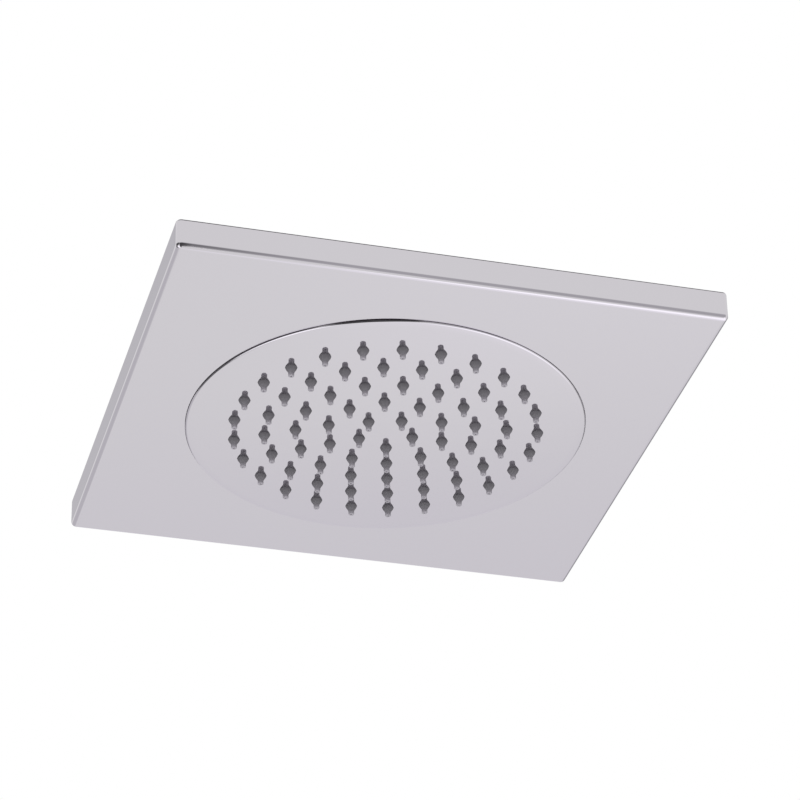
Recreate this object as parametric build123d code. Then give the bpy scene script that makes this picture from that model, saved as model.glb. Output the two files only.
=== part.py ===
from build123d import *
import os
from math import sqrt

# A ceiling shower head: a round spray head set in a square tile.
# Millimetres, +Z up. The origin is on the centre axis in the ceiling plane,
# where the tile's rim ends.

# Tile: a square tray folded from polished sheet, open towards the ceiling
TILE_WIDTH = 270.0
TILE_DEPTH = 15.5
TILE_SHEET = 1.2
TILE_FOLD_R = 2.7  # outside of the folds and of the upright corners
TILE_RIM_BREAK = 0.9  # rounding along the outside of the rim

# Spray plate: a domed disc pressed with a flange that rests inside the tile
FACE_R = 100.0
FACE_SHEET = 0.8
FACE_PROUD = 1.05  # rim of the dome below the tile
FACE_DOME = 1.95  # centre of the dome below its rim
FACE_EDGE_R = 1.0  # outside of the bend round the dome
FACE_GAP = 0.25  # seam between the disc and the tile's opening
FLANGE_WIDTH = 12.0

# Nozzles: each ring has as many more than the last as the first ring has
NOZZLE_RINGS = 5
NOZZLES_IN_FIRST = 5
NOZZLE_FIRST_R = 14.0
NOZZLE_PITCH = 15.55
NOZZLE_TURN = 2.4  # degrees from +X to the first nozzle of every ring
NOZZLE_BASE_R = 2.9
NOZZLE_TIP_R = 1.45
NOZZLE_LENGTH = 5.05  # below the plate
NOZZLE_SHOULDER = 0.8  # straight stretch under the plate
NOZZLE_CONE = 2.1  # height of the cone under the shoulder
NOZZLE_ORIFICE_R = 0.5
NOZZLE_BORE_R = 1.4  # waterway through the mat
NOZZLE_CLEARANCE = 0.1
MAT_WEB = 1.6
MAT_RIM_CLEARANCE = 0.6  # round the mat, inside the bend of the plate

# Water chamber behind the plate
GASKET_THICK = 1.5
GASKET_CLEARANCE = 0.5  # inside the gasket, to the wall of the plate
DIFFUSER_RIM_WIDTH = 10.0
DIFFUSER_SPOKES = 6
DIFFUSER_SPOKE_WIDTH = 5.0
DIFFUSER_THICK = 1.8
DIFFUSER_HUB_R = 20.0
COVER_SHEET = 1.2
COVER_RISE = 8.0  # roof above the face of its flange
COVER_BEND_R = 3.0
COVER_HOLD = 5.5  # overlap on the rim of the diffuser, with the bend
COVER_SLOPE = 5.0  # inward lean of the wall
BEAD_COUNT = 8
BEAD_R = 5.0
BEAD_RISE = 1.5
BEAD_START_R = 34.0
BEAD_END_R = 76.0
SEAT = 0.05  # play between pieces that lie on each other

# Small studs, washers and nuts that clamp the flange
CLAMP_COUNT = 8
CLAMP_TURN = 22.5
CLAMP_INSET = 5.5  # from the edge of the flange
CLAMP_STUD_R = 2.0
CLAMP_COLLAR_R = 2.75
CLAMP_HOLE_CLEARANCE = 0.25
CLAMP_WASHER_R = 4.5
CLAMP_WASHER_THICK = 0.8
CLAMP_NUT_FLATS = 7.0
CLAMP_NUT_HEIGHT = 3.2
CLAMP_NUT_CHAMFER = 0.6
CLAMP_NUT_CLEARANCE = 0.05  # between the nut and its stud
CLAMP_STUD_BEYOND = 1.5  # stud past its nut

# Studs that fasten the tile to the ceiling
CEILING_STUD_R = 3.0
CEILING_STUD_ABOVE = 23.5  # past the ceiling plane
CEILING_COLLAR_R = 4.0
CEILING_COLLAR_THICK = 1.0
CEILING_COLLAR_CLEARANCE = 11.28  # from the flange to the collar, on the tile's diagonals
STUD_POINT = 0.8  # chamfer at the free end of every stud

# Inlet: a bulkhead spigot with a half-inch parallel pipe thread
INLET_R = 10.48
INLET_BORE_R = 7.0
INLET_THREAD = 20.0  # free thread for the supply pipe
INLET_CHAMFER = 1.0
INLET_RELIEF = 2.0
INLET_RELIEF_DEPTH = 1.1
INLET_FLANGE_R = 17.0
INLET_FLANGE_THICK = 3.0
INLET_CLEARANCE = 0.25
INLET_SEAL_R = 16.0
INLET_SEAL_THICK = 1.5
INLET_WASHER_R = 17.0
INLET_WASHER_THICK = 1.2
LOCK_NUT_FLATS = 27.0
LOCK_NUT_HEIGHT = 6.0
LOCK_NUT_CHAMFER = 1.0

# Flow regulator, its O-ring and the strainer, in the mouth of the spigot
MOUTH_R = 8.2
MOUTH_DEPTH = 8.0
REGULATOR_THICK = 4.5
REGULATOR_CLEARANCE = 0.2
REGULATOR_CORE_R = 2.4
REGULATOR_SLOT_R = 4.6
REGULATOR_TEETH = 8
REGULATOR_TOOTH = 1.0
RING_CORD_R = 0.75
RING_SIDE_ROOM = 0.2
STRAINER_THICK = 0.6
STRAINER_HOLE_R = 0.8
STRAINER_HOLE_PITCH = 2.9
STRAINER_RINGS = 2

# Heights, from the ceiling down to the spray plate and up again through the chamber
TILE_UNDER = -TILE_DEPTH
TILE_FLOOR = TILE_UNDER + TILE_SHEET
FACE_RIM_Z = TILE_UNDER - FACE_PROUD
FACE_CENTRE_Z = FACE_RIM_Z - FACE_DOME
FLANGE_TOP = TILE_FLOOR + FACE_SHEET
GASKET_TOP = FLANGE_TOP + GASKET_THICK
COVER_FLANGE_TOP = GASKET_TOP + COVER_SHEET
CLAMP_WASHER_TOP = COVER_FLANGE_TOP + CLAMP_WASHER_THICK
CLAMP_NUT_TOP = CLAMP_WASHER_TOP + CLAMP_NUT_HEIGHT
COVER_ROOF = GASKET_TOP + COVER_RISE
COVER_CEILING = COVER_ROOF - COVER_SHEET
INLET_FLANGE_TOP = COVER_CEILING - INLET_SEAL_THICK
INLET_BOTTOM = INLET_FLANGE_TOP - INLET_FLANGE_THICK
INLET_WASHER_TOP = COVER_ROOF + INLET_WASHER_THICK
LOCK_NUT_TOP = INLET_WASHER_TOP + LOCK_NUT_HEIGHT
INLET_TOP = LOCK_NUT_TOP + INLET_RELIEF + INLET_THREAD
MOUTH_FLOOR = INLET_TOP - MOUTH_DEPTH
REGULATOR_TOP = MOUTH_FLOOR + REGULATOR_THICK

# Radii that follow from what fits in what
OPENING_R = FACE_R + FACE_GAP
FLANGE_R = FACE_R + FLANGE_WIDTH
FLANGE_BEND_R = FACE_GAP - SEAT
FACE_WALL_IN_R = FACE_R - FACE_SHEET
CLAMP_CIRCLE_R = FLANGE_R - CLAMP_INSET
CLAMP_HOLE_R = CLAMP_STUD_R + CLAMP_HOLE_CLEARANCE
DIFFUSER_R = FACE_WALL_IN_R - MAT_RIM_CLEARANCE
MAT_R = DIFFUSER_R - MAT_RIM_CLEARANCE
COVER_FOOT_R = DIFFUSER_R - COVER_HOLD
COVER_ROOF_R = COVER_FOOT_R - COVER_SLOPE
INLET_HOLE_R = INLET_R + INLET_CLEARANCE
DOME_R = (FACE_R**2 + FACE_DOME**2) / (2 * FACE_DOME)
MAT_UNDER = FACE_SHEET + SEAT
MAT_TOP = MAT_UNDER + MAT_WEB

UPRIGHT = (Align.CENTER, Align.CENTER, Align.MIN)
OUTWARD = (Align.MIN, Align.CENTER, Align.MIN)


def dome_height(radius, inside=0.0):
    """Height of the dome at a radius, on its outer face or a distance inside it."""
    return FACE_CENTRE_Z + DOME_R - sqrt((DOME_R - inside) ** 2 - radius**2)


def dome_arc(start_r, end_r, inside=0.0):
    """Stretch of the dome's section between two radii."""
    points = []
    for radius in (start_r, (start_r + end_r) / 2, end_r):
        points.append((radius, dome_height(radius, inside)))
    return ThreePointArc(*points)


def outline(*points):
    """Closed section from its corners, each a radius and a height."""
    return make_face(Polyline(*points, close=True))


def turned(section):
    """Solid turned about the centre axis from a section of radius and height."""
    return revolve(Plane.XZ * section, Axis.Z)


def rounded(section, corner, radius):
    """The section with the corner nearest to a point rounded."""
    vertex = section.vertices().sort_by_distance((*corner, 0))[0]
    return fillet(vertex, radius)


def disc(radius, bottom, top):
    return Pos(0, 0, bottom) * Cylinder(radius, top - bottom, align=UPRIGHT)


def ring(inner_r, outer_r, bottom, top):
    return disc(outer_r, bottom, top) - disc(inner_r, bottom, top)


def nut(flats, chamfer, bore_r, bottom, top):
    """Hexagon nut with its corners turned off at both ends."""
    corner_r = flats / sqrt(3)
    slope = chamfer / sqrt(3)
    end_r = corner_r - chamfer
    blank = outline(
        (bore_r, bottom),
        (end_r, bottom),
        (corner_r, bottom + slope),
        (corner_r, top - slope),
        (end_r, top),
        (bore_r, top),
    )
    sides = RegularPolygon(flats / 2, 6, major_radius=False)
    return turned(blank) & (Pos(0, 0, bottom) * extrude(sides, top - bottom))


def stud(radius, collar_r, collar_thick, bottom, top):
    """Weld stud with its base collar and a chamfered point."""
    section = outline(
        (0, bottom),
        (collar_r, bottom),
        (collar_r, bottom + collar_thick),
        (radius, bottom + collar_thick),
        (radius, top - STUD_POINT),
        (radius - STUD_POINT, top),
        (0, top),
    )
    return turned(section)


def clamp_places():
    return PolarLocations(CLAMP_CIRCLE_R, CLAMP_COUNT, CLAMP_TURN)


def clamp_holes(radius, bottom, top):
    return clamp_places() * disc(radius, bottom, top)


def nozzle_rings():
    """Radius of each ring of nozzles with the places of its nozzles."""
    rings = []
    for number in range(1, NOZZLE_RINGS + 1):
        radius = NOZZLE_FIRST_R + (number - 1) * NOZZLE_PITCH
        places = PolarLocations(radius, number * NOZZLES_IN_FIRST, NOZZLE_TURN)
        rings.append((radius, places))
    return rings


def tile_cover():
    blank = Box(TILE_WIDTH, TILE_WIDTH, TILE_DEPTH, align=UPRIGHT)
    tray = Pos(0, 0, TILE_UNDER) * blank
    folds = tray.edges().filter_by(Axis.Z) + tray.edges().group_by(Axis.Z)[0]
    tray = fillet(folds, TILE_FOLD_R)
    tray = fillet(tray.edges().group_by(Axis.Z)[-1], TILE_RIM_BREAK)
    inside = TILE_WIDTH - 2 * TILE_SHEET
    hollow = Pos(0, 0, TILE_FLOOR) * Box(inside, inside, TILE_DEPTH, align=UPRIGHT)
    folds = hollow.edges().filter_by(Axis.Z) + hollow.edges().group_by(Axis.Z)[0]
    hollow = fillet(folds, TILE_FOLD_R - TILE_SHEET)
    return tray - hollow - disc(OPENING_R, TILE_UNDER, TILE_FLOOR)


def ceiling_studs():
    one = stud(
        CEILING_STUD_R,
        CEILING_COLLAR_R,
        CEILING_COLLAR_THICK,
        TILE_FLOOR,
        CEILING_STUD_ABOVE,
    )
    from_axis = FLANGE_R + CEILING_COLLAR_CLEARANCE + CEILING_COLLAR_R
    spacing = from_axis * sqrt(2)
    return GridLocations(spacing, spacing, 2, 2) * one


def flange_studs():
    """Studs whose collars sit in the holes of the spray plate's flange."""
    top = CLAMP_NUT_TOP + CLAMP_STUD_BEYOND
    one = stud(CLAMP_STUD_R, CLAMP_COLLAR_R, FACE_SHEET - SEAT, TILE_FLOOR, top)
    return clamp_places() * one


def spray_plate():
    wall_in = FACE_WALL_IN_R
    rim_in = dome_height(wall_in, FACE_SHEET)
    corners = [
        (FACE_R, FACE_RIM_Z),
        (FACE_R, TILE_FLOOR),
        (FLANGE_R, TILE_FLOOR),
        (FLANGE_R, FLANGE_TOP),
        (wall_in, FLANGE_TOP),
        (wall_in, rim_in),
    ]
    outside = dome_arc(0, FACE_R)
    inside = dome_arc(wall_in, 0, FACE_SHEET)
    axis = Line(inside @ 1, outside @ 0)
    section = make_face([outside, Polyline(*corners), inside, axis])
    section = rounded(section, (FACE_R, FACE_RIM_Z), FACE_EDGE_R)
    section = rounded(section, (wall_in, rim_in), FACE_EDGE_R - FACE_SHEET)
    section = rounded(section, (FACE_R, TILE_FLOOR), FLANGE_BEND_R)
    section = rounded(section, (wall_in, FLANGE_TOP), FLANGE_BEND_R + FACE_SHEET)
    plate = turned(section)
    holes = []
    hole_r = NOZZLE_BASE_R + NOZZLE_CLEARANCE
    for radius, places in nozzle_rings():
        level = dome_height(radius)
        holes += places * disc(hole_r, level - FACE_SHEET, level + 2 * FACE_SHEET)
    collar_r = CLAMP_COLLAR_R + CLAMP_HOLE_CLEARANCE
    return plate - holes - clamp_holes(collar_r, TILE_FLOOR, FLANGE_TOP)


def nozzle(level):
    """Solid nozzle rooted in the mat, for a place where the plate has this height."""
    root = level + MAT_UNDER + MAT_WEB / 2
    cone_top = level - NOZZLE_SHOULDER
    cone_end = cone_top - NOZZLE_CONE
    tip = level - NOZZLE_LENGTH
    section = outline(
        (0, root),
        (NOZZLE_BASE_R, root),
        (NOZZLE_BASE_R, cone_top),
        (NOZZLE_TIP_R, cone_end),
        (NOZZLE_TIP_R, tip),
        (0, tip),
    )
    return turned(section)


def nozzle_bore(level):
    """Waterway of one nozzle: straight through the mat, then tapered to the orifice."""
    tip = level - NOZZLE_LENGTH
    mouth = level + MAT_TOP
    beyond = MAT_WEB / 2
    taper = (NOZZLE_BORE_R - NOZZLE_ORIFICE_R) / NOZZLE_LENGTH
    section = outline(
        (0, tip - beyond),
        (NOZZLE_ORIFICE_R - taper * beyond, tip - beyond),
        (NOZZLE_BORE_R, level),
        (NOZZLE_BORE_R, mouth + beyond),
        (0, mouth + beyond),
    )
    return turned(section)


def nozzle_mat():
    under = dome_arc(0, MAT_R, MAT_UNDER)
    top = dome_arc(MAT_R, 0, MAT_TOP)
    edges = [under, Line(under @ 1, top @ 0), top, Line(top @ 1, under @ 0)]
    web = turned(make_face(edges))
    nozzles = []
    bores = []
    for radius, places in nozzle_rings():
        level = dome_height(radius)
        nozzles += places * nozzle(level)
        bores += places * nozzle_bore(level)
    return (web + nozzles) - bores


def rim_gasket():
    inner_r = FACE_R + GASKET_CLEARANCE
    flat = ring(inner_r, FLANGE_R, FLANGE_TOP, GASKET_TOP)
    return flat - clamp_holes(CLAMP_HOLE_R, FLANGE_TOP, GASKET_TOP)


def water_diffuser():
    """Rim that holds down the mat, spokes and a baffle under the inlet."""
    inner_r = DIFFUSER_R - DIFFUSER_RIM_WIDTH
    top = GASKET_TOP - SEAT
    foot = dome_arc(inner_r, DIFFUSER_R, MAT_TOP + SEAT)
    sides = Polyline(foot @ 1, (DIFFUSER_R, top), (inner_r, top), foot @ 0)
    rim = turned(make_face([foot, sides]))
    bottom = top - DIFFUSER_THICK
    reach = inner_r + DIFFUSER_RIM_WIDTH / 2
    spoke = Box(reach, DIFFUSER_SPOKE_WIDTH, DIFFUSER_THICK, align=OUTWARD)
    spokes = PolarLocations(0, DIFFUSER_SPOKES) * (Pos(0, 0, bottom) * spoke)
    return rim + spokes + disc(DIFFUSER_HUB_R, bottom, top)


def bead(radius, top):
    """Radial stiffening bead: a bar with round ends whose crown has this height."""
    axis_z = top - radius
    run = BEAD_END_R - BEAD_START_R
    start = Plane((BEAD_START_R, 0, axis_z), x_dir=(0, 1, 0), z_dir=(1, 0, 0))
    bar = start * Cylinder(radius, run, align=UPRIGHT)
    inner_end = Pos(BEAD_START_R, 0, axis_z) * Sphere(radius)
    outer_end = Pos(BEAD_END_R, 0, axis_z) * Sphere(radius)
    return bar + inner_end + outer_end


def chamber_cover():
    path = FilletPolyline(
        (FLANGE_R, COVER_FLANGE_TOP),
        (COVER_FOOT_R, COVER_FLANGE_TOP),
        (COVER_ROOF_R, COVER_ROOF),
        (INLET_HOLE_R, COVER_ROOF),
        radius=COVER_BEND_R,
    )
    section = make_face(offset(path, COVER_SHEET, side=Side.LEFT, closed=True))
    shell = turned(section)
    crown = COVER_ROOF + BEAD_RISE
    above = disc(COVER_ROOF_R, COVER_CEILING + COVER_SHEET / 2, crown)
    raised = PolarLocations(0, BEAD_COUNT) * (bead(BEAD_R, crown) & above)
    pressed = PolarLocations(0, BEAD_COUNT) * bead(BEAD_R - COVER_SHEET, crown - COVER_SHEET)
    shell = shell + raised - pressed
    return shell - clamp_holes(CLAMP_HOLE_R, GASKET_TOP, COVER_FLANGE_TOP)


def flange_washers():
    one = ring(CLAMP_HOLE_R, CLAMP_WASHER_R, COVER_FLANGE_TOP, CLAMP_WASHER_TOP)
    return clamp_places() * one


def flange_nuts():
    bore_r = CLAMP_STUD_R + CLAMP_NUT_CLEARANCE
    one = nut(CLAMP_NUT_FLATS, CLAMP_NUT_CHAMFER, bore_r, CLAMP_WASHER_TOP, CLAMP_NUT_TOP)
    return clamp_places() * one


def inlet_spigot():
    relief_r = INLET_R - INLET_RELIEF_DEPTH
    thread_start = LOCK_NUT_TOP + INLET_RELIEF
    section = outline(
        (INLET_BORE_R, INLET_BOTTOM),
        (INLET_FLANGE_R, INLET_BOTTOM),
        (INLET_FLANGE_R, INLET_FLANGE_TOP),
        (INLET_R, INLET_FLANGE_TOP),
        (INLET_R, LOCK_NUT_TOP),
        (relief_r, LOCK_NUT_TOP),
        (relief_r, thread_start),
        (INLET_R, thread_start),
        (INLET_R, INLET_TOP - INLET_CHAMFER),
        (INLET_R - INLET_CHAMFER, INLET_TOP),
        (MOUTH_R, INLET_TOP),
        (MOUTH_R, MOUTH_FLOOR),
        (INLET_BORE_R, MOUTH_FLOOR),
    )
    return turned(section)


def inlet_seal():
    return ring(INLET_HOLE_R, INLET_SEAL_R, INLET_FLANGE_TOP, COVER_CEILING)


def inlet_washer():
    return ring(INLET_HOLE_R, INLET_WASHER_R, COVER_ROOF, INLET_WASHER_TOP)


def inlet_lock_nut():
    return nut(LOCK_NUT_FLATS, LOCK_NUT_CHAMFER, INLET_R + SEAT, INLET_WASHER_TOP, LOCK_NUT_TOP)


def ring_seat():
    """Depth radius and heights of the groove that holds the O-ring."""
    floor_r = MOUTH_R - 2 * RING_CORD_R - 2 * SEAT
    middle = (MOUTH_FLOOR + REGULATOR_TOP) / 2
    half = RING_CORD_R + RING_SIDE_ROOM
    return floor_r, middle - half, middle + half


def flow_regulator():
    """Grooved plug with a core held by teeth in a ring of slots."""
    outer_r = MOUTH_R - REGULATOR_CLEARANCE
    floor_r, low, high = ring_seat()
    groove = ring(floor_r, MOUTH_R, low, high)
    plug = disc(outer_r, MOUTH_FLOOR, REGULATOR_TOP) - groove
    slots = ring(REGULATOR_CORE_R, REGULATOR_SLOT_R, MOUTH_FLOOR, REGULATOR_TOP)
    tooth = Box(REGULATOR_SLOT_R, REGULATOR_TOOTH, REGULATOR_THICK, align=OUTWARD)
    teeth = PolarLocations(0, REGULATOR_TEETH) * (Pos(0, 0, MOUTH_FLOOR) * tooth)
    return plug - (slots - teeth)


def regulator_seal():
    floor_r, low, high = ring_seat()
    return Pos(0, 0, (low + high) / 2) * Torus(floor_r + SEAT + RING_CORD_R, RING_CORD_R)


def inlet_strainer():
    top = REGULATOR_TOP + STRAINER_THICK
    plate = disc(MOUTH_R - SEAT, REGULATOR_TOP, top)
    hole = disc(STRAINER_HOLE_R, REGULATOR_TOP, top)
    holes = [hole]
    for number in range(1, STRAINER_RINGS + 1):
        holes += PolarLocations(number * STRAINER_HOLE_PITCH, 6 * number) * hole
    return plate - holes


PARTS = [
    tile_cover,
    ceiling_studs,
    flange_studs,
    spray_plate,
    nozzle_mat,
    rim_gasket,
    water_diffuser,
    chamber_cover,
    flange_washers,
    flange_nuts,
    inlet_spigot,
    inlet_seal,
    inlet_washer,
    inlet_lock_nut,
    flow_regulator,
    regulator_seal,
    inlet_strainer,
]

os.makedirs("parts", exist_ok=True)
for make in PARTS:
    made = make()
    solids = made if isinstance(made, list) else made.solids()
    shape = solids[0] if len(solids) == 1 else Compound(list(solids))
    export_step(shape, f"parts/{make.__name__}.step")
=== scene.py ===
from math import asin, atan2, cos, pi, radians, sin, sqrt, tan

import bpy
from mathutils import Matrix, Vector
from mathutils.geometry import delaunay_2d_cdt


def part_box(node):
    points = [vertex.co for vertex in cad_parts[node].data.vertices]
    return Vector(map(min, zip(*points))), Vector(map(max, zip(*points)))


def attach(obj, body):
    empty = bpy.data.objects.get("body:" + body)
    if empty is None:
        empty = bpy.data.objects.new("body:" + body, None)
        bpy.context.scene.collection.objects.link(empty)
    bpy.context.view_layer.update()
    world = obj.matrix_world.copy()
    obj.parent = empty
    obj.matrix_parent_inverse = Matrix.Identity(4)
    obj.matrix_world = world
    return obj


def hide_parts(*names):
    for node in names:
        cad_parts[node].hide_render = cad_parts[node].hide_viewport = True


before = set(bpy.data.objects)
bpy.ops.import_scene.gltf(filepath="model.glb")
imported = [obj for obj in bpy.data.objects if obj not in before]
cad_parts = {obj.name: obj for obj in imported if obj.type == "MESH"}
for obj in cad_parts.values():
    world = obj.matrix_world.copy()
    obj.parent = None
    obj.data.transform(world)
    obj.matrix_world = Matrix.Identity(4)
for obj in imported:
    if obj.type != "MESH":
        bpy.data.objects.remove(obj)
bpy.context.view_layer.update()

MM = 0.001

# Tile: folded sheet tray, read from its solid, with the folds' radii
TILE_LOW, TILE_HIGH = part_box("tile_cover")
TILE_HALF = TILE_HIGH[0]
TILE_UNDER = TILE_LOW[2]
TILE_RIM = TILE_HIGH[2]
TILE_SHEET = 1.2 * MM
TILE_FOLD_R = 2.7 * MM
TILE_RIM_BREAK = 0.9 * MM
TILE_FLOOR = TILE_UNDER + TILE_SHEET
TILE_EDGE_LOOP = 0.15 * MM  # from a fold to the ring that keeps the flat beside it flat
LEAST_CORNER_R = 0.02 * MM  # where the corners of a ring are all but sharp
SIDE_STEPS = 56
CORNER_STEPS = 12
FOLD_STEPS = 12
RIM_BREAK_STEPS = 4

# Spray plate: domed disc with a bent edge and a flange inside the tile
PLATE_LOW, PLATE_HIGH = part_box("spray_plate")
FACE_R = 100.0 * MM
FACE_SHEET = 0.8 * MM
FACE_DOME = 1.95 * MM
FACE_EDGE_R = 1.0 * MM
FACE_GAP = 0.25 * MM
FLANGE_BEND = 0.2 * MM
FLANGE_R = 112.0 * MM
FLANGE_TOP = PLATE_HIGH[2]
FACE_CENTRE_Z = PLATE_LOW[2]
DOME_R = (FACE_R**2 + FACE_DOME**2) / (2 * FACE_DOME)
RIM_STEPS = 240
PLATE_EDGE_STEPS = 10
PLATE_INNER_EDGE_STEPS = 6
FLANGE_BEND_STEPS = 5
SAME_POINT = 1e-7  # points of a pierced face that lie closer than this are one

# Nozzles and the mat that they are moulded on
NOZZLE_RINGS = 5
NOZZLES_IN_FIRST = 5
NOZZLE_FIRST_R = 14.0 * MM
NOZZLE_PITCH = 15.55 * MM
NOZZLE_TURN = radians(2.4)
NOZZLE_BASE_R = 2.9 * MM
NOZZLE_TIP_R = 1.45 * MM
NOZZLE_LENGTH = 5.05 * MM
NOZZLE_FLARE = 3.3 * MM  # height over which the base narrows to the tip
NOZZLE_TIP_ROUND = 0.4 * MM
NOZZLE_ORIFICE_R = 0.5 * MM
NOZZLE_BORE_R = 1.4 * MM
NOZZLE_CLEARANCE = 0.1 * MM
NOZZLE_STEPS = 32
NOZZLE_FLARE_STEPS = 16
NOZZLE_TIP_STEPS = 5
# The bore's pale tone is painted light, standing for light that comes through the silicone tip
BORE_LIP = 0.05  # share of the bore in which the tip's tone turns into the bore's
MAT_R = 98.0 * MM
MAT_UNDER = 0.85 * MM
MAT_TOP = 2.45 * MM

# Pressed cover of the water chamber: its upper outline and its radial beads
COVER_LOW, COVER_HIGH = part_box("chamber_cover")
COVER_SHEET = 1.2 * MM
COVER_FOOT_R = 93.1 * MM
COVER_SLOPE = 5.0 * MM  # inward lean of the wall
COVER_BEND_R = 3.0 * MM
COVER_HOLE_R = 10.73 * MM  # round the spigot
COVER_CLAMP_HOLE_R = 2.25 * MM
COVER_STEPS = 384
COVER_ROWS = 50
COVER_BEND_STEPS = 6
BEAD_COUNT = 8
BEAD_RISE = 1.5 * MM
BEAD_HALF_WIDTH = 4.6 * MM
BEAD_START_R = 34.0 * MM
BEAD_END_R = 76.0 * MM

# Fasteners: studs with radius, pitch and depth of thread, collars with radius and height, and nuts
CEILING_STUD = (3.0 * MM, 1.0 * MM, 0.6 * MM)
CEILING_COLLAR = (4.0 * MM, 1.0 * MM)
CEILING_STUD_SPACING = 180.0 * MM
CLAMP_STUD = (2.0 * MM, 0.7 * MM, 0.42 * MM)
CLAMP_COLLAR = (2.75 * MM, 0.75 * MM)
CLAMP_HOLE_R = 3.0 * MM  # in the flange of the plate, round the collars
CLAMP_COUNT = 8
CLAMP_TURN = radians(22.5)
CLAMP_CIRCLE_R = 106.5 * MM
CLAMP_NUT_FLATS = 7.0 * MM
CLAMP_NUT_END_R = 3.44 * MM
CLAMP_NUT_BORE_R = 2.05 * MM
STUD_POINT = 0.8 * MM
STUD_STEPS = 24
LOCK_NUT_FLATS = 27.0 * MM
LOCK_NUT_END_R = 14.588 * MM
LOCK_NUT_BORE_R = 10.53 * MM
NUT_SINK = 0.35 * MM  # countersink of a nut's bore
HEX_SLOPE = 0.577  # fall of a nut's turned corners for each step outwards
THREAD_ROWS = 8  # rings in one turn of a thread

# Inlet spigot, with its thread as for the studs
SPIGOT_LOW, SPIGOT_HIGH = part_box("inlet_spigot")
SPIGOT_THREAD = (10.48 * MM, 1.814 * MM, 1.1 * MM)
SPIGOT_BORE_R = 7.0 * MM
SPIGOT_FLANGE_THICK = 3.0 * MM
SPIGOT_RELIEF = 2.0 * MM
SPIGOT_CHAMFER = 1.0 * MM
SPIGOT_MOUTH_R = 8.2 * MM
SPIGOT_MOUTH_DEPTH = 8.0 * MM
SPIGOT_MOUTH_BREAK = 0.3 * MM
TURNED_STEPS = 72

# Edges that turn by more than this, in degrees, stay sharp
SHARP_EDGE = 30.0
NOZZLE_SHARP_EDGE = 50.0
NUT_SHARP_EDGE = 20.0

# Finishes: bases hold tone, metal and roughness where nothing is linked, noises a scale per metre
# and a detail, bumps a distance and a strength
NOISE_SPAN = (0.3, 0.7)  # where most values of a noise lie
POLISHED_TONE = (0.6, 0.58, 0.613)
POLISHED_BASE = (POLISHED_TONE, 1.0, 0.05)
POLISHED_ROUGHNESS = (0.03, 0.07)
POLISHED_HAZE = (60.0, 4.0)
MILL_ROUGHNESS = 0.26  # what the unpolished inside of the tile adds
SILICONE_BASE = ((0.25, 0.25, 0.26), 0.0, 0.5)
SILICONE_ROUGHNESS = (0.55, 0.7)
SILICONE_GRAIN = (900.0, 3.0)
SILICONE_TINT = (1.0, 0.95, 1.05)
# Painted shading of the silicone from root to tip: painted shade at the root by the plate, paler as
# painted light from below towards the tip, then the paler bore, painted as light that comes through the
# tip
TIP_SHADE = 0.9
SILICONE_PAINTED_SHADING = [(0.0, 0.13), (0.27, 0.138), (0.5, 0.195), (0.72, 0.3), (TIP_SHADE, 0.39), (1.0, 0.8)]
METAL_DETAIL = 4.0
METAL_SPREAD = (0.75, 1.3)  # least and most roughness, as shares of the metal's own
METAL_BUMP = (0.01 * MM, 0.4)
MOULDED_GRAIN = (1500.0, 2.0)
MOULDED_SPREAD = (0.85, 1.15)
MOULDED_BUMP = (0.02 * MM, 0.3)
# Metals with tone, roughness, scale and stretch of the grain; mouldings with tone and roughness
SHEET_TONE = (0.56, 0.56, 0.57)
SHEET_FINISH = (SHEET_TONE, 0.32, 400.0, (1.0, 12.0, 1.0))
ZINC_FINISH = ((0.6, 0.6, 0.61), 0.28, 900.0, (1.0, 1.0, 1.0))
BRASS_FINISH = ((0.72, 0.52, 0.24), 0.24, 300.0, (1.0, 1.0, 20.0))
RUBBER_FINISH = ((0.03, 0.03, 0.032), 0.6)
PLASTIC_FINISH = ((0.72, 0.72, 0.7), 0.45)

# Camera: where it stands, what it looks at and its lens
CAMERA_AT = (-402.2 * MM, -1480.9 * MM, -947.3 * MM)
CAMERA_LOOKS_AT = (0.2 * MM, -27.7 * MM, -15.5 * MM)
CAMERA_ROLL = radians(1.16)
CAMERA_SENSOR = 36.0
CAMERA_LENS = 161.4
CAMERA_REACH = 100.0

# Studio, in metres: floor of the room, cards mirrored in the polished steel, and soft lamps
FLOOR_Z = -2.4
FLOOR_SIDE = 14.0
FLOOR_TONE = 0.92
FLOOR_ROUGHNESS = 0.9
FLOOR_GLOW = 0.85  # share of plain white in what the camera sees of the floor
WORLD_LIGHT = 0.8
CARD_R = 2.1
CARD_TINT = (1.0, 0.985, 1.03)
CARD_SPACING = 0.03  # each card hangs in front of the one before
CARD_STEPS = 40
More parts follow.
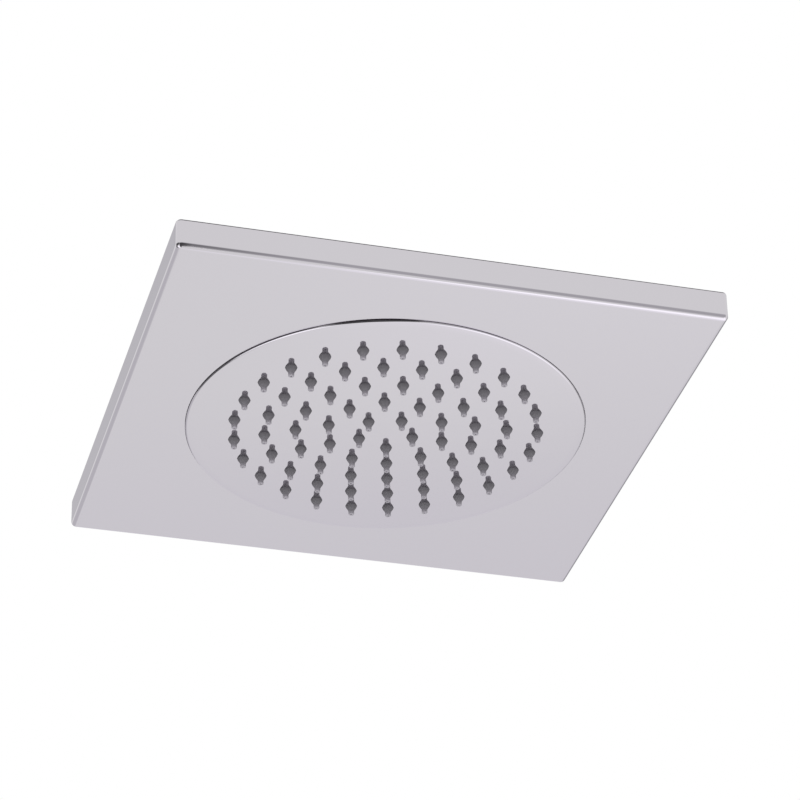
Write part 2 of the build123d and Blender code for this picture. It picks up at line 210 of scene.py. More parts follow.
# Name, azimuths from the front to the right, elevations from the horizon, strength, and the
# stretches over which the card fades at its left, right, bottom and top; all angles in degrees
CARDS = [
    ("overhead_back", (80, 280), (56, 90), 0.6, (10, 10, 10, 1)),
    ("overhead_front", (-100, 100), (40, 90), 0.05, (10, 10, 8, 1)),
    ("behind_above", (140, 220), (12, 60), 0.61, (15, 15, 12, 15)),
    ("behind_low", (130, 215), (-36, 14), 0.9, (20, 20, 14, 14)),
    ("bright_below", (80, 180), (-84, -28), 1.2, (25, 30, 10, 22)),
    ("dark_right", (98, 158), (-14, 36), 0.4, (12, 12, 10, 10)),
    ("grey_front", (-12, 64), (-50, 26), 0.56, (8, 22, 26, 22)),
    ("grey_left", (-176, -128), (-40, 8), 0.72, (12, 10, 12, 12)),
    ("dark_left", (-138, -104), (-66, 6), 0.14, (8, 8, 10, 12)),
    ("dark_side", (-116, -44), (-26, 20), 0.1, (10, 10, 8, 10)),
    ("bright_left", (-122, -50), (-82, -31), 1.65, (10, 18, 10, 7)),
    ("bright_right", (32, 130), (-82, -22), 1.58, (14, 24, 8, 14)),
    ("dark_low", (-60, 8), (-89, -40), 0.05, (16, 8, 3, 10)),
    ("dark_front", (-56, 10), (-60, 16), 0.08, (20, 9, 14, 16)),
]
# Name, place, side and power
LAMPS = [
    ("key_lamp", (-1.3, -1.5, -1.1), 1.2, 9.0),
    ("top_lamp", (0.9, 0.7, 1.7), 1.4, 12.0),
]


def dome_height(radius, inside=0.0):
    """Height of the dome at a radius, on its outer face or a distance inside it."""
    return FACE_CENTRE_Z + DOME_R - sqrt((DOME_R - inside) ** 2 - radius**2)


def smoothstep(x):
    """Smooth rise from none to one."""
    x = min(max(x, 0.0), 1.0)
    return x * x * (3 - 2 * x)


def arc(centre, radius, start, end, steps):
    """Points of an arc in a section, with angles from the downward direction outwards."""
    points = []
    for i in range(steps + 1):
        angle = start + (end - start) * i / steps
        points.append((centre[0] + radius * sin(angle), centre[1] - radius * cos(angle)))
    return points


class Sheet:
    """Vertices and faces of one mesh piece while it is being laid out."""

    def __init__(self):
        self.points = []
        self.faces = []

    def ring(self, points):
        start = len(self.points)
        self.points.extend(points)
        return list(range(start, start + len(points)))

    def bridge(self, low, high):
        """Band of faces between two closed rings with the same number of points."""
        count = len(low)
        for i in range(count):
            j = (i + 1) % count
            self.faces.append((low[i], low[j], high[j], high[i]))

    def loft(self, rings, closed=False):
        """Bands of faces from each ring to the next, and back to the first where closed."""
        pairs = list(zip(rings, rings[1:]))
        if closed:
            pairs.append((rings[-1], rings[0]))
        for low, high in pairs:
            self.bridge(low, high)

    def bridge_back(self, low_rings, high_rings):
        """Bands between the rings of two lists, with their faces turned the other way."""
        for low, high in zip(low_rings, high_rings):
            self.bridge(high, low)

    def piece(self, name, sharp=SHARP_EDGE):
        mesh = bpy.data.meshes.new(name)
        mesh.from_pydata(self.points, [], self.faces)
        mesh.validate()
        mesh.shade_smooth()
        mesh.set_sharp_from_angle(angle=radians(sharp))
        mesh.update()
        made = bpy.data.objects.new(name, mesh)
        bpy.context.scene.collection.objects.link(made)
        return made


def circle(radius, height, steps=RIM_STEPS, centre=(0.0, 0.0), turn=0.0):
    points = []
    for i in range(steps):
        angle = 2 * pi * i / steps + turn
        x = centre[0] + radius * cos(angle)
        y = centre[1] + radius * sin(angle)
        points.append((x, y, height))
    return points


def rounded_square(half, corner_r, height):
    """Ring round a square with round corners, the same number of points for every size."""
    points = []
    flat = half - corner_r
    for quarter in range(4):
        turn = Matrix.Rotation(quarter * pi / 2, 2)
        for i in range(CORNER_STEPS + 1):
            angle = pi / 2 * i / CORNER_STEPS
            spot = Vector((flat + corner_r * cos(angle), flat + corner_r * sin(angle)))
            points.append((*(turn @ spot), height))
        for i in range(1, SIDE_STEPS):
            spot = Vector((flat - 2 * flat * i / SIDE_STEPS, half))
            points.append((*(turn @ spot), height))
    return points


def opening_ring(radius, height):
    """Round ring whose points lie on the same rays as those of the square rings."""
    points = []
    for x, y, _ in rounded_square(TILE_HALF, TILE_FOLD_R, 0.0):
        angle = atan2(y, x)
        points.append((radius * cos(angle), radius * sin(angle), height))
    return points


def fold_rings(sheet, half, radius, floor, rising):
    """Rings round the fold between the floor and the walls of the tray."""
    shares = [i / FOLD_STEPS for i in range(FOLD_STEPS + 1)]
    if not rising:
        shares.reverse()
    rings = []
    for share in shares:
        angle = share * pi / 2
        out = half - radius * (1 - sin(angle))
        corner = max(radius * sin(angle), LEAST_CORNER_R)
        rings.append(sheet.ring(rounded_square(out, corner, floor + radius * (1 - cos(angle)))))
    return rings


def make_tile():
    """Tray with smooth folds, a broken rim and the round opening, marked dull inside."""
    sheet = Sheet()
    opening_r = FACE_R + FACE_GAP
    inner_half = TILE_HALF - TILE_SHEET
    inner_r = TILE_FOLD_R - TILE_SHEET
    flat_half = TILE_HALF - TILE_FOLD_R - TILE_EDGE_LOOP
    inner_flat_half = inner_half - inner_r - TILE_EDGE_LOOP
    low_wall = TILE_UNDER + TILE_FOLD_R + TILE_EDGE_LOOP
    high_wall = TILE_RIM - TILE_RIM_BREAK
    rings = [sheet.ring(opening_ring(opening_r, TILE_UNDER))]

    def add_square(half, corner_r, height):
        rings.append(sheet.ring(rounded_square(half, corner_r, height)))

    add_square(flat_half, LEAST_CORNER_R, TILE_UNDER)
    rings += fold_rings(sheet, TILE_HALF, TILE_FOLD_R, TILE_UNDER, True)
    add_square(TILE_HALF, TILE_FOLD_R, low_wall)
    add_square(TILE_HALF, TILE_FOLD_R, high_wall - TILE_EDGE_LOOP)
    for step in range(RIM_BREAK_STEPS + 1):
        angle = step / RIM_BREAK_STEPS * pi / 2
        inset = TILE_RIM_BREAK * (1 - cos(angle))
        height = high_wall + TILE_RIM_BREAK * sin(angle)
        add_square(TILE_HALF - inset, TILE_FOLD_R - inset, height)
    outside_points = len(sheet.points)
    add_square(inner_half, inner_r, TILE_RIM)
    add_square(inner_half, inner_r, TILE_FLOOR + inner_r + TILE_EDGE_LOOP)
    rings += fold_rings(sheet, inner_half, inner_r, TILE_FLOOR, False)
    add_square(inner_flat_half, LEAST_CORNER_R, TILE_FLOOR)
    rings.append(sheet.ring(opening_ring(opening_r, TILE_FLOOR)))
    sheet.loft(rings, closed=True)
    made = sheet.piece("tile_skin")
    dull = made.data.attributes.new("dull", "FLOAT", "POINT")
    for index, value in enumerate(dull.data):
        value.value = 0.0 if index < outside_points else 1.0
    return made


def nozzle_spots():
    spots = []
    for number in range(1, NOZZLE_RINGS + 1):
        radius = NOZZLE_FIRST_R + (number - 1) * NOZZLE_PITCH
        count = number * NOZZLES_IN_FIRST
        for i in range(count):
            angle = NOZZLE_TURN + 2 * pi * i / count
            spots.append((radius * cos(angle), radius * sin(angle)))
    return spots


def clamp_spots():
    spots = []
    for i in range(CLAMP_COUNT):
        angle = CLAMP_TURN + 2 * pi * i / CLAMP_COUNT
        spots.append((CLAMP_CIRCLE_R * cos(angle), CLAMP_CIRCLE_R * sin(angle)))
    return spots


def pierced_face(sheet, outer_r, holes, fill, height, facing_up):
    """Round face with holes; returns its rim ring and the rings of the holes.

    Each hole has a centre, a radius and a number of steps. Fill gives the radii of
    circles of points that keep the face even, and height the level at a radius.
    """
    flat = [Vector(p[:2]) for p in circle(outer_r, 0.0)]
    loops = [list(range(len(flat)))]
    for centre, radius, steps in holes:
        start = len(flat)
        flat += [Vector(p[:2]) for p in circle(radius, 0.0, steps, centre)]
        loops.append(list(range(start, start + steps)))
    for radius in fill:
        flat += [Vector(p[:2]) for p in circle(radius, 0.0, RIM_STEPS // 2)]
    edges = []
    for loop in loops:
        edges += list(zip(loop, loop[1:] + loop[:1]))
    found, _, faces, origins, _, _ = delaunay_2d_cdt(flat, edges, [], 0, SAME_POINT)
    start = len(sheet.points)
    for point in found:
        sheet.points.append((point.x, point.y, height(point.length)))
    place = {}
    for index, sources in enumerate(origins):
        for source in sources:
            place[source] = start + index
    open_spots = [(Vector(centre), radius * cos(pi / steps)) for centre, radius, steps in holes]
    for face in faces:
        middle = sum((found[i] for i in face), Vector((0, 0))) / len(face)
        if any((middle - centre).length < reach for centre, reach in open_spots):
            continue
        corners = [start + i for i in face]
        sheet.faces.append(tuple(corners) if facing_up else tuple(reversed(corners)))
    rings = [[place[i] for i in loop] for loop in loops]
    return rings[0], rings[1:]


def pierced_dome(sheet, outer_r, hole_r, inside, facing_up):
    """Domed face of the plate or the mat with a hole at every nozzle."""
    holes = [(spot, hole_r, NOZZLE_STEPS) for spot in nozzle_spots()]
    fill = []
    fill_r = outer_r - NOZZLE_PITCH / 4
    while fill_r > NOZZLE_FIRST_R + NOZZLE_RINGS * NOZZLE_PITCH:
        fill.append(fill_r)
        fill_r -= NOZZLE_PITCH / 2

    def height(radius):
        return dome_height(radius, inside)

    return pierced_face(sheet, outer_r, holes, fill, height, facing_up)


def pierced_flange(sheet, inner_r, steps, hole_r, level, facing_up):
    """Flat face of a flange; the last of its hole rings is its inner edge."""
    holes = [(spot, hole_r, NOZZLE_STEPS) for spot in clamp_spots()]
    holes.append(((0.0, 0.0), inner_r, steps))

    def height(radius):
        return level

    return pierced_face(sheet, FLANGE_R, holes, [], height, facing_up)


def turned_rings(sheet, section, steps=RIM_STEPS):
    return [sheet.ring(circle(radius, height, steps)) for radius, height in section]


def make_plate():
    """Domed plate with its pierced faces, the bend round its edge, its wall and its flange."""
    sheet = Sheet()
    inner_edge_r = FACE_EDGE_R - FACE_SHEET
    bend_centre = (FACE_R - FACE_EDGE_R, dome_height(FACE_R - FACE_EDGE_R, FACE_EDGE_R))
    lean = asin(bend_centre[0] / (DOME_R - FACE_EDGE_R))
    outer_r = bend_centre[0] + FACE_EDGE_R * sin(lean)
    inner_r = bend_centre[0] + inner_edge_r * sin(lean)
    hole_r = NOZZLE_BASE_R + NOZZLE_CLEARANCE
    outer_rim, outer_holes = pierced_dome(sheet, outer_r, hole_r, 0.0, False)
    inner_rim, inner_holes = pierced_dome(sheet, inner_r, hole_r, FACE_SHEET, True)
    sheet.bridge_back(outer_holes, inner_holes)
    flange_in = (FACE_R + FLANGE_BEND, TILE_FLOOR - FLANGE_BEND)
    flange = (flange_in[0], RIM_STEPS, CLAMP_HOLE_R)
    under_rim, under_holes = pierced_flange(sheet, *flange, TILE_FLOOR, False)
    top_rim, top_holes = pierced_flange(sheet, *flange, FLANGE_TOP, True)
    outside = arc(bend_centre, FACE_EDGE_R, lean, pi / 2, PLATE_EDGE_STEPS)[1:]
    outside += arc(flange_in, FLANGE_BEND, -pi / 2, -pi, FLANGE_BEND_STEPS)[:-1]
    inside = arc(flange_in, FLANGE_BEND + FACE_SHEET, -pi, -pi / 2, FLANGE_BEND_STEPS)[1:]
    inside += arc(bend_centre, inner_edge_r, pi / 2, lean, PLATE_INNER_EDGE_STEPS)[:-1]
    sheet.loft([outer_rim] + turned_rings(sheet, outside) + [under_holes[-1]])
    sheet.bridge(under_rim, top_rim)
    sheet.loft([top_holes[-1]] + turned_rings(sheet, inside) + [inner_rim])
    sheet.bridge_back(under_holes[:-1], top_holes[:-1])
    return sheet.piece("spray_plate_skin")


def nozzle_section():
    """Section of a nozzle below the plate, from its base to the edge of the orifice."""
    section = []
    straight = NOZZLE_LENGTH - NOZZLE_TIP_ROUND
    for i in range(NOZZLE_FLARE_STEPS + 1):
        drop = NOZZLE_FLARE * i / NOZZLE_FLARE_STEPS
        narrowing = (NOZZLE_BASE_R - NOZZLE_TIP_R) * smoothstep(drop / NOZZLE_FLARE)
        section.append((NOZZLE_BASE_R - narrowing, -drop))
    centre = (NOZZLE_TIP_R - NOZZLE_TIP_ROUND, -straight)
    section += arc(centre, NOZZLE_TIP_ROUND, pi / 2, 0.0, NOZZLE_TIP_STEPS)
    section.append((NOZZLE_ORIFICE_R, -NOZZLE_LENGTH))
    return section


def make_nozzle_mat():
    """Silicone mat with its web, nozzles and tapered waterways, marked with the drop of each point, which
    sets the painted shading of the silicone.
    """
    sheet = Sheet()
    under_rim, under_holes = pierced_dome(sheet, MAT_R, NOZZLE_BASE_R, MAT_UNDER, False)
    top_rim, top_holes = pierced_dome(sheet, MAT_R, NOZZLE_BORE_R, MAT_TOP, True)
    sheet.bridge(under_rim, top_rim)
    section = nozzle_section()
    bores = []
    for spot, root, mouth in zip(nozzle_spots(), under_holes, top_holes):
        level = dome_height(sqrt(spot[0] ** 2 + spot[1] ** 2))
        rings = [root]
        for radius, drop in section:
            rings.append(sheet.ring(circle(radius, level + drop, NOZZLE_STEPS, spot)))
        for share in (BORE_LIP, 1.0):
            radius = NOZZLE_ORIFICE_R + (NOZZLE_BORE_R - NOZZLE_ORIFICE_R) * share
            height = level - NOZZLE_LENGTH * (1 - share)
            rings.append(sheet.ring(circle(radius, height, NOZZLE_STEPS, spot)))
            bores += rings[-1]
        rings.append(mouth)
        sheet.bridge_back(rings, rings[1:])
    made = sheet.piece("nozzle_skin", NOZZLE_SHARP_EDGE)
    # The drop of each point sets the painted shade at the root and the painted light towards the tip
    painted_shading_marks = made.data.attributes.new("drop", "FLOAT", "POINT")
    for vertex, value in zip(made.data.vertices, painted_shading_marks.data):
        radius = vertex.co.xy.length
        below = dome_height(radius) - vertex.co.z
        value.value = TIP_SHADE * below / NOZZLE_LENGTH
    # Bores get the palest mark: painted light, as light coming through the tip
    for index in bores:
        painted_shading_marks.data[index].value = 1.0
    return made


def bead_rise(x, y):
    """Height of the pressed beads above the roof of the cover at a place."""
    radius = sqrt(x * x + y * y)
    sector = 2 * pi / BEAD_COUNT
    turn = (atan2(y, x) + sector / 2) % sector - sector / 2
    along, across = radius * cos(turn), radius * sin(turn)
    beyond = max(BEAD_START_R - along, along - BEAD_END_R, 0.0)
    distance = sqrt(across**2 + beyond**2)
    return BEAD_RISE * (1 - smoothstep(distance / BEAD_HALF_WIDTH))


def beaded_rings(sheet, section):
    rings = []
    for radius, height in section:
        points = circle(radius, height, COVER_STEPS)
        rings.append(sheet.ring([(x, y, z + bead_rise(x, y)) for x, y, z in points]))
    return rings


def make_cover():
    """Pressed cover with its flange, leaning wall, beaded roof and inlet hole."""
    sheet = Sheet()
    flange_top = COVER_LOW[2] + COVER_SHEET
    roof = COVER_HIGH[2] - BEAD_RISE
    lean = atan2(roof - flange_top, COVER_SLOPE)
    tangent = COVER_BEND_R * tan(lean / 2)
    foot = (COVER_FOOT_R + tangent, flange_top + COVER_BEND_R)
    shoulder = (COVER_FOOT_R - COVER_SLOPE - tangent, roof - COVER_BEND_R)
    flange = (foot[0], COVER_STEPS, COVER_CLAMP_HOLE_R)
    under_rim, under_holes = pierced_flange(sheet, *flange, COVER_LOW[2], False)
    top_rim, top_holes = pierced_flange(sheet, *flange, flange_top, True)
    sides = []
    for inside in (0.0, COVER_SHEET):
        section = arc(foot, COVER_BEND_R + inside, 0.0, -lean, COVER_BEND_STEPS)[1:]
        section += arc(shoulder, COVER_BEND_R - inside, pi - lean, pi, COVER_BEND_STEPS)
        for row in range(1, COVER_ROWS + 1):
            radius = shoulder[0] + (COVER_HOLE_R - shoulder[0]) * row / COVER_ROWS
            section.append((radius, roof - inside))
        sides.append(beaded_rings(sheet, section))
    upper, lower = sides
    sheet.loft([top_holes[-1]] + upper + lower[::-1] + [under_holes[-1]])
    sheet.bridge(under_rim, top_rim)
    sheet.bridge_back(under_holes[:-1], top_holes[:-1])
    return sheet.piece("chamber_cover_skin")


def thread_rings(sheet, thread, low, high, chamfer, steps, centre=(0.0, 0.0)):
    """Rings up a threaded stretch that starts at its root and ends in a chamfer."""
    major_r, pitch, depth = thread
    count = round((high - low) / pitch * THREAD_ROWS)
    rings = []
    for row in range(count + 1):
        height = low + (high - low) * row / count
        limit = major_r - depth * max(0.0, 1 - (height - low) / pitch)
        limit = min(limit, major_r - max(0.0, height - (high - chamfer)))
        ring = []
        for i in range(steps):
            angle = 2 * pi * i / steps
            wave = 0.5 - 0.5 * cos(2 * pi * (height - low) / pitch - angle)
            radius = min(limit, major_r - depth * wave)
            ring.append((centre[0] + radius * cos(angle), centre[1] + radius * sin(angle), height))
        rings.append(sheet.ring(ring))
    return rings


def add_stud(sheet, thread, collar, low, high, centre):
    """Threaded stud with its base collar and a chamfered point."""
    collar_r, collar_top = collar[0], low + collar[1]
    root_r = thread[0] - thread[2]
    rings = []
    for radius, height in [(collar_r, low), (collar_r, collar_top), (root_r, collar_top)]:
        rings.append(sheet.ring(circle(radius, height, STUD_STEPS, centre)))
    rings += thread_rings(sheet, thread, collar_top, high, STUD_POINT, STUD_STEPS, centre)[1:]
    sheet.loft(rings)
    sheet.faces.append(tuple(reversed(rings[0])))
    sheet.faces.append(tuple(rings[-1]))


def make_ceiling_studs():
    sheet = Sheet()
    low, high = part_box("ceiling_studs")
    half = CEILING_STUD_SPACING / 2
    for spot in [(-half, -half), (half, -half), (half, half), (-half, half)]:
        add_stud(sheet, CEILING_STUD, CEILING_COLLAR, low[2], high[2], spot)
    return sheet.piece("ceiling_stud_threads")


def make_flange_studs():
    sheet = Sheet()
    low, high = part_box("flange_studs")
    for spot in clamp_spots():
        add_stud(sheet, CLAMP_STUD, CLAMP_COLLAR, low[2], high[2], spot)
    return sheet.piece("flange_stud_threads")


def add_nut(sheet, flats, end_r, bore_r, low, high, centre, turn):
    """Hexagon nut whose corners are turned off at both ends, with a countersunk bore."""
    rows = {"bottom": [], "lower": [], "upper": [], "top": []}
    for i in range(TURNED_STEPS):
        angle = 2 * pi * i / TURNED_STEPS
        from_flat = (angle + pi / 6) % (pi / 3) - pi / 6
        side_r = flats / 2 / cos(from_flat)
        drop = HEX_SLOPE * max(0.0, side_r - end_r)
        face_r = min(side_r, end_r)
        level = {"bottom": low, "lower": low + drop, "upper": high - drop, "top": high}
        for name, height in level.items():
            radius = face_r if name in ("bottom", "top") else side_r
            x = centre[0] + radius * cos(angle + turn)
            y = centre[1] + radius * sin(angle + turn)
            rows[name].append((x, y, height))
    rings = [sheet.ring(points) for points in rows.values()]
    sink_r = bore_r + NUT_SINK
    bore = [(sink_r, high), (bore_r, high - NUT_SINK), (bore_r, low + NUT_SINK), (sink_r, low)]
    for radius, height in bore:
        rings.append(sheet.ring(circle(radius, height, TURNED_STEPS, centre, turn)))
    sheet.loft(rings, closed=True)


def make_flange_nuts():
    sheet = Sheet()
    low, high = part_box("flange_nuts")
    for number, spot in enumerate(clamp_spots()):
        turn = CLAMP_TURN + 2 * pi * number / CLAMP_COUNT + pi / 6
        add_nut(sheet, CLAMP_NUT_FLATS, CLAMP_NUT_END_R, CLAMP_NUT_BORE_R, low[2], high[2], spot, turn)
    return sheet.piece("flange_nut_hexagons", NUT_SHARP_EDGE)


def make_lock_nut():
    sheet = Sheet()
    low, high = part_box("inlet_lock_nut")
    add_nut(sheet, LOCK_NUT_FLATS, LOCK_NUT_END_R, LOCK_NUT_BORE_R, low[2], high[2], (0.0, 0.0), pi / 6)
    return sheet.piece("lock_nut_hexagon", NUT_SHARP_EDGE)


def make_spigot():
    """Bulkhead spigot with its flange, relief groove, pipe thread and bored mouth."""
    sheet = Sheet()
    bottom, top = SPIGOT_LOW[2], SPIGOT_HIGH[2]
    flange_r = SPIGOT_HIGH[0]
    flange_top = bottom + SPIGOT_FLANGE_THICK
    major_r = SPIGOT_THREAD[0]
    root_r = major_r - SPIGOT_THREAD[2]
    nut_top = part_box("inlet_lock_nut")[1][2]
    mouth_floor = top - SPIGOT_MOUTH_DEPTH
    below = [
        (SPIGOT_BORE_R, bottom),
        (flange_r, bottom),
        (flange_r, flange_top),
        (major_r, flange_top),
        (major_r, nut_top),
        (root_r, nut_top),
    ]
    inside = [
        (SPIGOT_MOUTH_R + SPIGOT_MOUTH_BREAK, top),
        (SPIGOT_MOUTH_R, top - SPIGOT_MOUTH_BREAK),
        (SPIGOT_MOUTH_R, mouth_floor),
        (SPIGOT_BORE_R, mouth_floor),
    ]
    rings = turned_rings(sheet, below, TURNED_STEPS)
    rings += thread_rings(sheet, SPIGOT_THREAD, nut_top + SPIGOT_RELIEF, top, SPIGOT_CHAMFER, TURNED_STEPS)
    rings += turned_rings(sheet, inside, TURNED_STEPS)
    sheet.loft(rings, closed=True)
    return sheet.piece("inlet_spigot_thread")


def node_material(name, colour, metallic, roughness):
    """Principled material with constant values, which later links may stand in for."""
    material = bpy.data.materials.new(name)
    material.use_nodes = True
    shader = material.node_tree.nodes["Principled BSDF"]
    shader.inputs["Base Color"].default_value = (*colour, 1.0)
    shader.inputs["Metallic"].default_value = metallic
    shader.inputs["Roughness"].default_value = roughness
    return material, material.node_tree, shader


def read_mark(tree, name):
    """Socket with the value that the points of a piece are marked with."""
    mark = tree.nodes.new("ShaderNodeAttribute")
    mark.attribute_name = name
    return mark.outputs["Fac"]


def add_noise(tree, scale, detail, stretch=(1.0, 1.0, 1.0)):
    """Noise in the object's own space, at a scale per metre."""
    place = tree.nodes.new("ShaderNodeTexCoord")
    mapping = tree.nodes.new("ShaderNodeMapping")
    mapping.inputs["Scale"].default_value = stretch
    noise = tree.nodes.new("ShaderNodeTexNoise")
    noise.inputs["Scale"].default_value = scale
    noise.inputs["Detail"].default_value = detail
    tree.links.new(place.outputs["Object"], mapping.inputs["Vector"])
    tree.links.new(mapping.outputs["Vector"], noise.inputs["Vector"])
    return noise


def vary(tree, source, socket, low, high):
    """Spreads a noise over a range and feeds it to a socket."""
    span = tree.nodes.new("ShaderNodeMapRange")
    span.inputs["From Min"].default_value = NOISE_SPAN[0]
    span.inputs["From Max"].default_value = NOISE_SPAN[1]
    span.inputs["To Min"].default_value = low
    span.inputs["To Max"].default_value = high
    tree.links.new(source.outputs[0], span.inputs["Value"])
    tree.links.new(span.outputs["Result"], socket)


def add_bump(tree, shader, source, distance, strength):
    bump = tree.nodes.new("ShaderNodeBump")
    bump.inputs["Strength"].default_value = strength
    bump.inputs["Distance"].default_value = distance
    tree.links.new(source.outputs[0], bump.inputs["Height"])
    tree.links.new(bump.outputs["Normal"], shader.inputs["Normal"])


def polished_steel():
    """Mirror finish, with the sheet's mill finish where a piece is marked dull."""
    material, tree, shader = node_material("polished_steel", *POLISHED_BASE)
    dull = read_mark(tree, "dull")
    tones = tree.nodes.new("ShaderNodeValToRGB")
    for stop, tone in zip(tones.color_ramp.elements, (POLISHED_TONE, SHEET_TONE)):
        stop.color = (*tone, 1.0)
    tree.links.new(dull, tones.inputs["Fac"])
    tree.links.new(tones.outputs["Color"], shader.inputs["Base Color"])
    rougher = tree.nodes.new("ShaderNodeMath")
    rougher.operation = "MULTIPLY_ADD"
    rougher.inputs[1].default_value = MILL_ROUGHNESS
    tree.links.new(dull, rougher.inputs[0])
    haze = add_noise(tree, *POLISHED_HAZE)
    vary(tree, haze, rougher.inputs[2], *POLISHED_ROUGHNESS)
    tree.links.new(rougher.outputs[0], shader.inputs["Roughness"])
    return material


def silicone():
    """Matt silicone with painted shading, paler the further a point lies below the plate: painted shade at
    the root, painted light towards the tip and in the bore.
    """
    material, tree, shader = node_material("grey_silicone", *SILICONE_BASE)
    ramp = tree.nodes.new("ShaderNodeValToRGB")
    stops = ramp.color_ramp.elements
    while len(stops) < len(SILICONE_PAINTED_SHADING):
        stops.new(0.5)
    for stop, (position, tone) in zip(stops, SILICONE_PAINTED_SHADING):
        stop.position = position
        stop.color = (*(share * tone for share in SILICONE_TINT), 1.0)
    tree.links.new(read_mark(tree, "drop"), ramp.inputs["Fac"])
    tree.links.new(ramp.outputs["Color"], shader.inputs["Base Color"])
    grain = add_noise(tree, *SILICONE_GRAIN)
    vary(tree, grain, shader.inputs["Roughness"], *SILICONE_ROUGHNESS)
    add_bump(tree, shader, grain, *MOULDED_BUMP)
    return material


def worn_metal(name, colour, roughness, scale, stretch):
    material, tree, shader = node_material(name, colour, 1.0, roughness)
    grain = add_noise(tree, scale, METAL_DETAIL, stretch)
    least, most = METAL_SPREAD
    vary(tree, grain, shader.inputs["Roughness"], roughness * least, roughness * most)
    add_bump(tree, shader, grain, *METAL_BUMP)
    return material


def moulded(name, colour, roughness):
    material, tree, shader = node_material(name, colour, 0.0, roughness)
    grain = add_noise(tree, *MOULDED_GRAIN)
    least, most = MOULDED_SPREAD
    vary(tree, grain, shader.inputs["Roughness"], roughness * least, roughness * most)
    add_bump(tree, shader, grain, *MOULDED_BUMP)
    return material


def dress(obj, material):
    obj.data.materials.clear()
    obj.data.materials.append(material)


def skin(made, node, material):
    """Puts a modelled piece in the place of its solid."""
    dress(made, material)
    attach(made, "root")
    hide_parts(node)


def make_camera():
    data = bpy.data.cameras.new("camera")
    data.lens = CAMERA_LENS
    data.sensor_width = CAMERA_SENSOR
    data.sensor_fit = "HORIZONTAL"
    data.clip_end = CAMERA_REACH
    camera = bpy.data.objects.new("camera", data)
    bpy.context.scene.collection.objects.link(camera)
    towards = Vector(CAMERA_LOOKS_AT) - Vector(CAMERA_AT)
    turn = towards.to_track_quat("-Z", "Y").to_matrix().to_4x4()
    roll = Matrix.Rotation(-CAMERA_ROLL, 4, "Z")
    camera.matrix_world = Matrix.Translation(CAMERA_AT) @ turn @ roll
    bpy.context.scene.camera = camera


def add_to_stage(name, points, faces, material):
    """Piece of the studio round the object."""
    mesh = bpy.data.meshes.new(name)
    mesh.from_pydata(points, [], faces)
    mesh.materials.append(material)
    made = bpy.data.objects.new(name, mesh)
    bpy.context.scene.collection.objects.link(made)
    return made


def seen_share(tree, camera_share):
    """Socket with a share for rays from the camera, one for gloss and glass, and else none."""
    path = tree.nodes.new("ShaderNodeLightPath")
    direct = tree.nodes.new("ShaderNodeMath")
    direct.operation = "MULTIPLY"
    direct.inputs[1].default_value = camera_share
    tree.links.new(path.outputs["Is Camera Ray"], direct.inputs[0])
    total = direct.outputs[0]
    for kind in ("Is Glossy Ray", "Is Transmission Ray"):
        more = tree.nodes.new("ShaderNodeMath")
        more.operation = "MAXIMUM"
        tree.links.new(total, more.inputs[0])
        tree.links.new(path.outputs[kind], more.inputs[1])
        total = more.outputs[0]
    return total


def mix_surface(tree, share, first, second):
    """Gives a material the mix of two shaders as its surface."""
    mix = tree.nodes.new("ShaderNodeMixShader")
    tree.links.new(share, mix.inputs["Fac"])
    tree.links.new(first, mix.inputs[1])
    tree.links.new(second, mix.inputs[2])
    tree.links.new(mix.outputs["Shader"], tree.nodes["Material Output"].inputs["Surface"])


def make_world():
    """White surroundings, a little weaker as a source of light than they look."""
    world = bpy.data.worlds.new("white_studio")
    world.use_nodes = True
    tree = world.node_tree
    background = tree.nodes["Background"]
    background.inputs["Color"].default_value = (1.0, 1.0, 1.0, 1.0)
    span = tree.nodes.new("ShaderNodeMapRange")
    span.inputs["To Min"].default_value = WORLD_LIGHT
    span.inputs["To Max"].default_value = 1.0
    tree.links.new(seen_share(tree, 1.0), span.inputs["Value"])
    tree.links.new(span.outputs["Result"], background.inputs["Strength"])
    bpy.context.scene.world = world


def make_floor():
    """Pale floor of the room, white in reflections, with the object's shadow on it."""
    material = bpy.data.materials.new("pale_floor")
    material.use_nodes = True
    tree = material.node_tree
    shader = tree.nodes["Principled BSDF"]
    shader.inputs["Base Color"].default_value = (FLOOR_TONE, FLOOR_TONE, FLOOR_TONE, 1.0)
    shader.inputs["Roughness"].default_value = FLOOR_ROUGHNESS
    shader.inputs["Specular IOR Level"].default_value = 0.0
    glow = tree.nodes.new("ShaderNodeEmission")
    share = seen_share(tree, FLOOR_GLOW)
    mix_surface(tree, share, shader.outputs["BSDF"], glow.outputs["Emission"])
    reach = FLOOR_SIDE / 2
    corners = [(-reach, -reach), (reach, -reach), (reach, reach), (-reach, reach)]
    points = [(x, y, FLOOR_Z) for x, y in corners]
    add_to_stage("floor", points, [(0, 1, 2, 3)], material)


def card_material(name, strength):
    """Glowing sheet that fades out towards its edges."""
    material = bpy.data.materials.new(name)
    material.use_nodes = True
    tree = material.node_tree
    glow = tree.nodes.new("ShaderNodeEmission")
    glow.inputs["Color"].default_value = (*CARD_TINT, 1.0)
    glow.inputs["Strength"].default_value = strength
    clear = tree.nodes.new("ShaderNodeBsdfTransparent")
    mix_surface(tree, read_mark(tree, "cover"), clear.outputs["BSDF"], glow.outputs["Emission"])
    return material


def fade(value, low, high, soft_low, soft_high):
    """One inside a range, falling to nothing over the soft stretch at each end."""
    return smoothstep((value - low) / soft_low) * smoothstep((high - value) / soft_high)


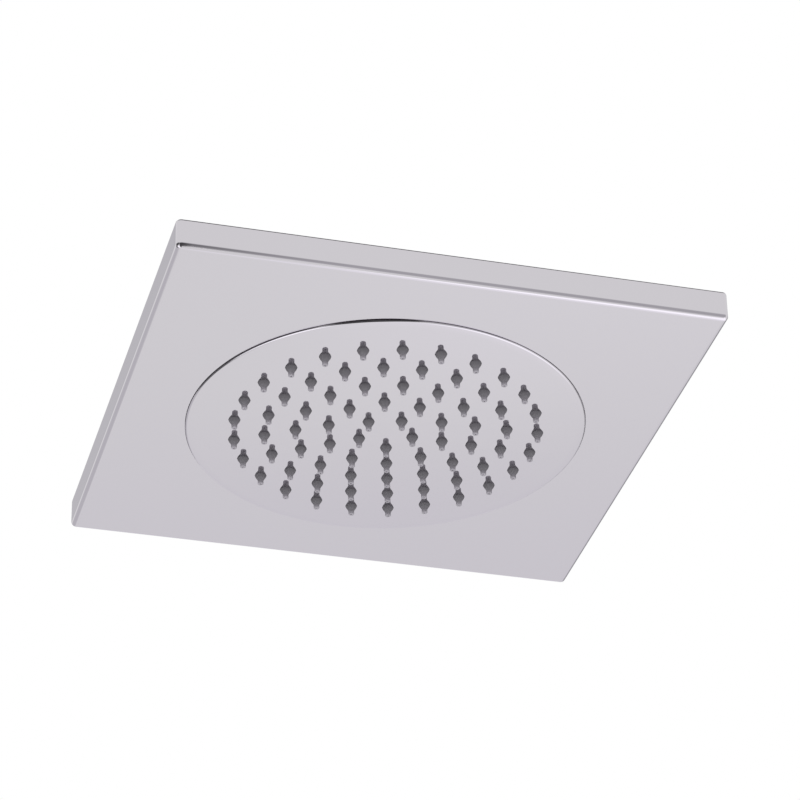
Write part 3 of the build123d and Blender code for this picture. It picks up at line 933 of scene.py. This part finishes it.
def make_card(radius, name, azimuths, elevations, strength, soft):
    """Curved studio card that shows in reflections alone."""
    points = []
    covers = []
    for row in range(CARD_STEPS + 1):
        elevation = elevations[0] + (elevations[1] - elevations[0]) * row / CARD_STEPS
        for column in range(CARD_STEPS + 1):
            azimuth = azimuths[0] + (azimuths[1] - azimuths[0]) * column / CARD_STEPS
            level = radius * cos(radians(elevation))
            x = level * sin(radians(azimuth))
            y = -level * cos(radians(azimuth))
            points.append((x, y, radius * sin(radians(elevation))))
            across = fade(azimuth, *azimuths, soft[0], soft[1])
            covers.append(across * fade(elevation, *elevations, soft[2], soft[3]))
    faces = []
    for row in range(CARD_STEPS):
        for column in range(CARD_STEPS):
            first = row * (CARD_STEPS + 1) + column
            above = first + CARD_STEPS + 1
            faces.append((first, first + 1, above + 1, above))
    made = add_to_stage(name, points, faces, card_material(name, strength))
    values = made.data.attributes.new("cover", "FLOAT", "POINT")
    values.data.foreach_set("value", covers)
    made.visible_camera = False
    made.visible_diffuse = False
    made.visible_shadow = False
    made.visible_transmission = False
    made.visible_volume_scatter = False


def make_lamp(name, place, size, power):
    """Soft square lamp that looks at the object and isn't mirrored in it."""
    data = bpy.data.lights.new(name, "AREA")
    data.shape = "SQUARE"
    data.size = size
    data.energy = power
    lamp = bpy.data.objects.new(name, data)
    bpy.context.scene.collection.objects.link(lamp)
    turn = (-Vector(place)).to_track_quat("-Z", "Y").to_matrix().to_4x4()
    lamp.matrix_world = Matrix.Translation(place) @ turn
    lamp.visible_glossy = False


def make_studio():
    make_world()
    make_floor()
    for number, card in enumerate(CARDS):
        make_card(CARD_R - number * CARD_SPACING, *card)
    for lamp in LAMPS:
        make_lamp(*lamp)


bpy.context.scene.view_settings.view_transform = "Standard"
make_camera()
make_studio()

polished = polished_steel()
skin(make_tile(), "tile_cover", polished)
skin(make_plate(), "spray_plate", polished)
skin(make_nozzle_mat(), "nozzle_mat", silicone())

sheet_steel = worn_metal("sheet_steel", *SHEET_FINISH)
zinc = worn_metal("zinc_plated", *ZINC_FINISH)
brass = worn_metal("turned_brass", *BRASS_FINISH)
rubber = moulded("black_rubber", *RUBBER_FINISH)
plastic = moulded("natural_plastic", *PLASTIC_FINISH)
skin(make_cover(), "chamber_cover", sheet_steel)
skin(make_ceiling_studs(), "ceiling_studs", zinc)
skin(make_flange_studs(), "flange_studs", zinc)
skin(make_flange_nuts(), "flange_nuts", zinc)
skin(make_spigot(), "inlet_spigot", brass)
skin(make_lock_nut(), "inlet_lock_nut", brass)

# Pieces shown as their solids
plain_pieces = {
    "flange_washers": zinc,
    "inlet_washer": zinc,
    "inlet_strainer": zinc,
    "rim_gasket": rubber,
    "inlet_seal": rubber,
    "regulator_seal": rubber,
    "water_diffuser": plastic,
    "flow_regulator": plastic,
}
for node, material in plain_pieces.items():
    dress(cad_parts[node], material)
